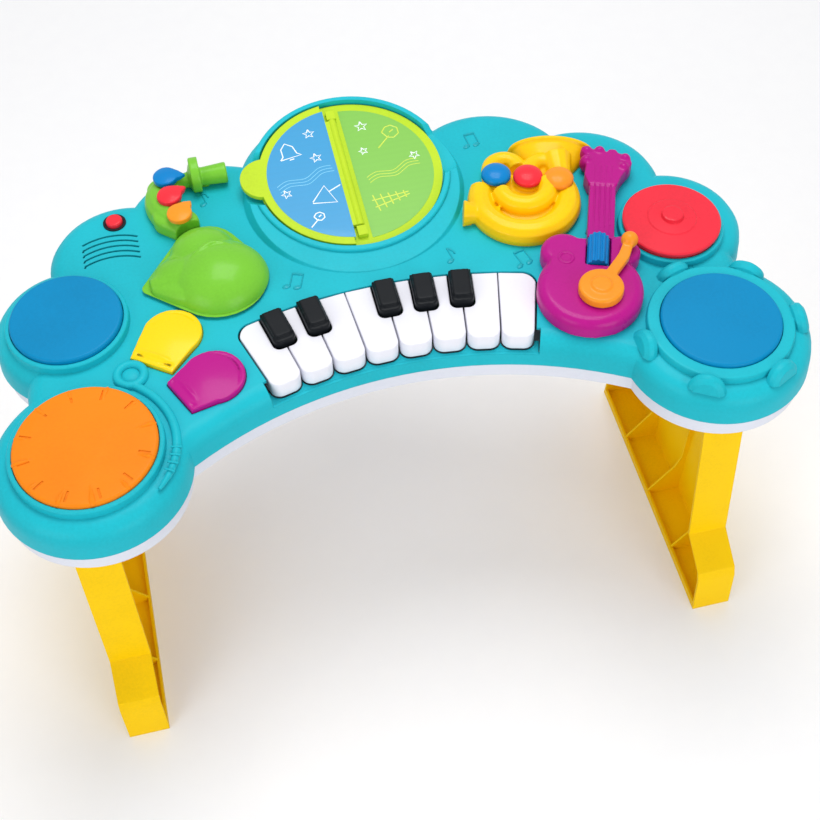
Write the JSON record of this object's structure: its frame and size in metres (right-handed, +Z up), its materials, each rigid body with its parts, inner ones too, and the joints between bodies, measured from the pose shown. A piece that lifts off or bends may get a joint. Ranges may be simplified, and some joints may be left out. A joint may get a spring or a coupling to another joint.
{
  "type": "musical activity table",
  "caption": "Free-standing toddler music table: lobed turquoise top with drums, fanned piano keys, press-button instruments and a page-turning book on two yellow side legs",
  "frame": {"origin": "on the floor under the middle of the table's outline", "axes": "+X to the child's right, +Y away from the child, +Z up"},
  "size_m": [0.648, 0.419, 0.3578],
  "materials": {
    "turquoise_plastic": "satin moulded plastic",
    "white_plastic": "satin moulded plastic",
    "yellow_leg_plastic": "satin moulded plastic",
    "orange_plastic": "satin moulded plastic",
    "blue_plastic": "satin moulded plastic",
    "red_plastic": "glossy moulded plastic",
    "yellow_plastic": "glossy moulded plastic",
    "purple_plastic": "glossy moulded plastic",
    "green_plastic": "satin moulded plastic",
    "lime_plastic": "satin moulded plastic",
    "white_key_plastic": "polished moulded plastic",
    "black_plastic": "polished moulded plastic",
    "grey_plastic": "plain moulded plastic",
    "circuit_board": "solder mask",
    "silicone_rubber": "matt silicone",
    "steel": "zinc plated",
    "battery_steel": "printed sleeve"
  },
  "bodies": {
    "table": {"top_shell": "turquoise_plastic", "base_shell": "white_plastic", "leg_left": "yellow_leg_plastic", "leg_right": "yellow_leg_plastic", "saxophone_body": "green_plastic", "trumpet_body": "yellow_plastic", "guitar_body": "purple_plastic", "roller_axle": "steel", "lever_screw": "steel", "book_base": "lime_plastic", "page_pin": "steel", "power_bezel": "black_plastic", "key_bed": "grey_plastic", "key_board": "circuit_board", "key_domes": "silicone_rubber", "left_board": "circuit_board", "left_domes": "silicone_rubber", "right_board": "circuit_board", "right_domes": "silicone_rubber", "speaker": "black_plastic", "batteries": "battery_steel", "battery_contacts": "steel", "battery_door": "white_plastic", "door_screw": "steel", "housing_screws": "steel"},
    "white_key_1": {"white_key_1": "white_key_plastic"},
    "white_key_2": {"white_key_2": "white_key_plastic"},
    "white_key_3": {"white_key_3": "white_key_plastic"},
    "white_key_4": {"white_key_4": "white_key_plastic"},
    "white_key_5": {"white_key_5": "white_key_plastic"},
    "white_key_6": {"white_key_6": "white_key_plastic"},
    "white_key_7": {"white_key_7": "white_key_plastic"},
    "white_key_8": {"white_key_8": "white_key_plastic"},
    "black_key_1": {"black_key_1": "black_plastic"},
    "black_key_2": {"black_key_2": "black_plastic"},
    "black_key_3": {"black_key_3": "black_plastic"},
    "black_key_4": {"black_key_4": "black_plastic"},
    "black_key_5": {"black_key_5": "black_plastic"},
    "drum_head_orange": {"drum_head_orange": "orange_plastic"},
    "drum_head_blue": {"drum_head_blue": "blue_plastic"},
    "tambourine_head": {"tambourine_head": "blue_plastic"},
    "cymbal": {"cymbal": "red_plastic"},
    "maraca_button_yellow": {"maraca_button_yellow": "yellow_plastic"},
    "maraca_button_purple": {"maraca_button_purple": "purple_plastic"},
    "saxophone_bell": {"saxophone_bell": "green_plastic"},
    "sax_key_blue": {"sax_key_blue": "blue_plastic"},
    "sax_key_red": {"sax_key_red": "red_plastic"},
    "sax_key_orange": {"sax_key_orange": "orange_plastic"},
    "valve_button_blue": {"valve_button_blue": "blue_plastic"},
    "valve_button_red": {"valve_button_red": "red_plastic"},
    "valve_button_orange": {"valve_button_orange": "orange_plastic"},
    "strum_roller": {"strum_roller": "blue_plastic"},
    "whammy_lever": {"whammy_lever": "orange_plastic"},
    "book_page": {"book_page": "lime_plastic"},
    "power_button": {"power_button": "red_plastic"}
  },
  "joints": [
    {"name": "white_key_1_hinge", "type": "hinge", "parent": "table", "child": "white_key_1", "pos_m": [-0.11404, -0.01647, 0.316], "axis": [0.9652, 0.2614, 0], "range_deg": [0, 2.6], "stiffness_Nm_per_rad": 0.15, "springref_deg": -6.88},
    {"name": "white_key_2_hinge", "type": "hinge", "parent": "table", "child": "white_key_2", "pos_m": [-0.08192, -0.00906, 0.316], "axis": [0.9822, 0.1878, 0], "range_deg": [0, 2.6], "stiffness_Nm_per_rad": 0.15, "springref_deg": -6.88},
    {"name": "white_key_3_hinge", "type": "hinge", "parent": "table", "child": "white_key_3", "pos_m": [-0.04934, -0.0041, 0.316], "axis": [0.9936, 0.1131, 0], "range_deg": [0, 2.6], "stiffness_Nm_per_rad": 0.15, "springref_deg": -6.88},
    {"name": "white_key_4_hinge", "type": "hinge", "parent": "table", "child": "white_key_4", "pos_m": [-0.01648, -0.00161, 0.316], "axis": [0.9993, 0.0378, 0], "range_deg": [0, 2.6], "stiffness_Nm_per_rad": 0.15, "springref_deg": -6.88},
    {"name": "white_key_5_hinge", "type": "hinge", "parent": "table", "child": "white_key_5", "pos_m": [0.01648, -0.00161, 0.316], "axis": [0.9993, -0.0378, 0], "range_deg": [0, 2.6], "stiffness_Nm_per_rad": 0.15, "springref_deg": -6.88},
    {"name": "white_key_6_hinge", "type": "hinge", "parent": "table", "child": "white_key_6", "pos_m": [0.04934, -0.0041, 0.316], "axis": [0.9936, -0.1131, 0], "range_deg": [0, 2.6], "stiffness_Nm_per_rad": 0.15, "springref_deg": -6.88},
    {"name": "white_key_7_hinge", "type": "hinge", "parent": "table", "child": "white_key_7", "pos_m": [0.08192, -0.00906, 0.316], "axis": [0.9822, -0.1878, 0], "range_deg": [0, 2.6], "stiffness_Nm_per_rad": 0.15, "springref_deg": -6.88},
    {"name": "white_key_8_hinge", "type": "hinge", "parent": "table", "child": "white_key_8", "pos_m": [0.11404, -0.01647, 0.316], "axis": [0.9652, -0.2614, 0], "range_deg": [0, 2.6], "stiffness_Nm_per_rad": 0.15, "springref_deg": -6.88},
    {"name": "black_key_1_hinge", "type": "hinge", "parent": "table", "child": "black_key_1", "pos_m": [-0.09805, -0.01246, 0.316], "axis": [0.9744, 0.2248, 0], "range_deg": [0, 2.6], "stiffness_Nm_per_rad": 0.15, "springref_deg": -6.88},
    {"name": "black_key_2_hinge", "type": "hinge", "parent": "table", "child": "black_key_2", "pos_m": [-0.06568, -0.00627, 0.316], "axis": [0.9886, 0.1506, 0], "range_deg": [0, 2.6], "stiffness_Nm_per_rad": 0.15, "springref_deg": -6.88},
    {"name": "black_key_3_hinge", "type": "hinge", "parent": "table", "child": "black_key_3", "pos_m": [0, -0.0013, 0.316], "axis": [1, 0, 0], "range_deg": [0, 2.6], "stiffness_Nm_per_rad": 0.15, "springref_deg": -6.88},
    {"name": "black_key_4_hinge", "type": "hinge", "parent": "table", "child": "black_key_4", "pos_m": [0.03293, -0.00255, 0.316], "axis": [0.9971, -0.0755, 0], "range_deg": [0, 2.6], "stiffness_Nm_per_rad": 0.15, "springref_deg": -6.88},
    {"name": "black_key_5_hinge", "type": "hinge", "parent": "table", "child": "black_key_5", "pos_m": [0.06568, -0.00627, 0.316], "axis": [0.9886, -0.1506, 0], "range_deg": [0, 2.6], "stiffness_Nm_per_rad": 0.15, "springref_deg": -6.88},
    {"name": "drum_head_orange_press", "type": "slide", "parent": "table", "child": "drum_head_orange", "axis": [0, 0, -1], "range_m": [0, 0.002], "stiffness_N_per_m": 500, "springref_m": -0.0045},
    {"name": "drum_head_blue_press", "type": "slide", "parent": "table", "child": "drum_head_blue", "axis": [0, 0, -1], "range_m": [0, 0.002], "stiffness_N_per_m": 500, "springref_m": -0.0045},
    {"name": "tambourine_head_press", "type": "slide", "parent": "table", "child": "tambourine_head", "axis": [0, 0, -1], "range_m": [0, 0.002], "stiffness_N_per_m": 500, "springref_m": -0.0045},
    {"name": "cymbal_press", "type": "slide", "parent": "table", "child": "cymbal", "axis": [0, 0, -1], "range_m": [0, 0.002], "stiffness_N_per_m": 500, "springref_m": -0.0045},
    {"name": "maraca_button_yellow_press", "type": "slide", "parent": "table", "child": "maraca_button_yellow", "axis": [0, 0, -1], "range_m": [0, 0.0025], "stiffness_N_per_m": 250, "springref_m": -0.004},
    {"name": "maraca_button_purple_press", "type": "slide", "parent": "table", "child": "maraca_button_purple", "axis": [0, 0, -1], "range_m": [0, 0.0025], "stiffness_N_per_m": 250, "springref_m": -0.004},
    {"name": "saxophone_bell_press", "type": "slide", "parent": "table", "child": "saxophone_bell", "axis": [0, 0, -1], "range_m": [0, 0.0025], "stiffness_N_per_m": 900, "springref_m": -0.006},
    {"name": "sax_key_blue_press", "type": "slide", "parent": "table", "child": "sax_key_blue", "axis": [0, 0, -1], "range_m": [0, 0.0025], "stiffness_N_per_m": 200, "springref_m": -0.003},
    {"name": "sax_key_red_press", "type": "slide", "parent": "table", "child": "sax_key_red", "axis": [0, 0, -1], "range_m": [0, 0.0025], "stiffness_N_per_m": 200, "springref_m": -0.003},
    {"name": "sax_key_orange_press", "type": "slide", "parent": "table", "child": "sax_key_orange", "axis": [0, 0, -1], "range_m": [0, 0.0025], "stiffness_N_per_m": 200, "springref_m": -0.003},
    {"name": "valve_button_blue_press", "type": "slide", "parent": "table", "child": "valve_button_blue", "axis": [0, 0, -1], "range_m": [0, 0.0025], "stiffness_N_per_m": 200, "springref_m": -0.003},
    {"name": "valve_button_red_press", "type": "slide", "parent": "table", "child": "valve_button_red", "axis": [0, 0, -1], "range_m": [0, 0.0025], "stiffness_N_per_m": 200, "springref_m": -0.003},
    {"name": "valve_button_orange_press", "type": "slide", "parent": "table", "child": "valve_button_orange", "axis": [0, 0, -1], "range_m": [0, 0.0025], "stiffness_N_per_m": 200, "springref_m": -0.003},
    {"name": "power_button_press", "type": "slide", "parent": "table", "child": "power_button", "axis": [0, 0, -1], "range_m": [0, 0.002], "stiffness_N_per_m": 250, "springref_m": -0.002},
    {"name": "strum_roller_spin", "type": "hinge", "parent": "table", "child": "strum_roller", "pos_m": [0.175, -0.0405, 0.339], "axis": [0.342, 0.9397, 0], "continuous": true},
    {"name": "whammy_lever_swing", "type": "hinge", "parent": "table", "child": "whammy_lever", "pos_m": [0.1625, -0.0835, 0.3433], "axis": [0, 0, 1], "range_deg": [-20, 4]},
    {"name": "page_turn", "type": "hinge", "parent": "table", "child": "book_page", "pos_m": [-0.004, 0.10172, 0.33781], "axis": [0, 0.995, 0.1002], "range_deg": [0, 179]}
  ]
}
